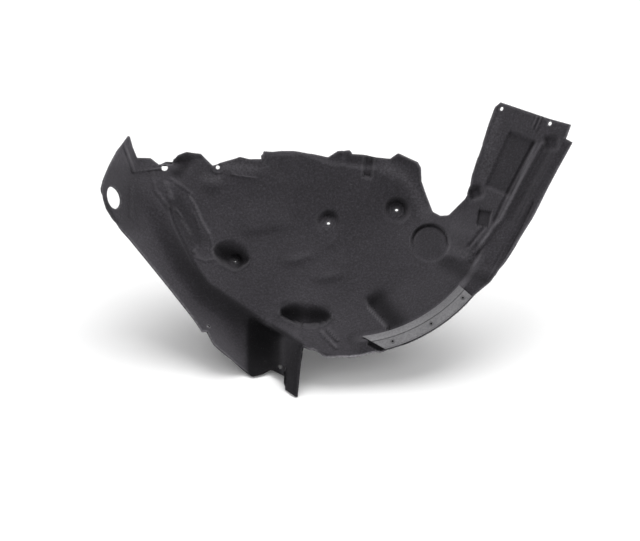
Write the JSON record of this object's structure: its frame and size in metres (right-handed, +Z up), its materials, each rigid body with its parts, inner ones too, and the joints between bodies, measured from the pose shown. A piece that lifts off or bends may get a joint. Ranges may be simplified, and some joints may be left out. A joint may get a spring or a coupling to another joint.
{
  "type": "wheel arch liner",
  "caption": "Pressed felt liner for a car's wheel arch, with folds, screw niches and a hard plastic strip along its outer lip.",
  "frame": {"origin": "middle of the liner's footprint on the floor, as it lies in the picture", "axes": "+Z up, +X along the arch to the arm with the ear, +Y towards the inner wall; the outer lip faces -Y and up"},
  "size_m": [0.9352, 0.4194, 0.4464],
  "materials": {
    "felt": "needle-punched felt, charcoal",
    "strip": "satin mid grey plastic",
    "rivets": "dark grey plastic"
  },
  "bodies": {
    "root": {"felt_liner": "felt", "edge_strip": "strip", "strip_rivets": "rivets"}
  },
  "joints": []
}
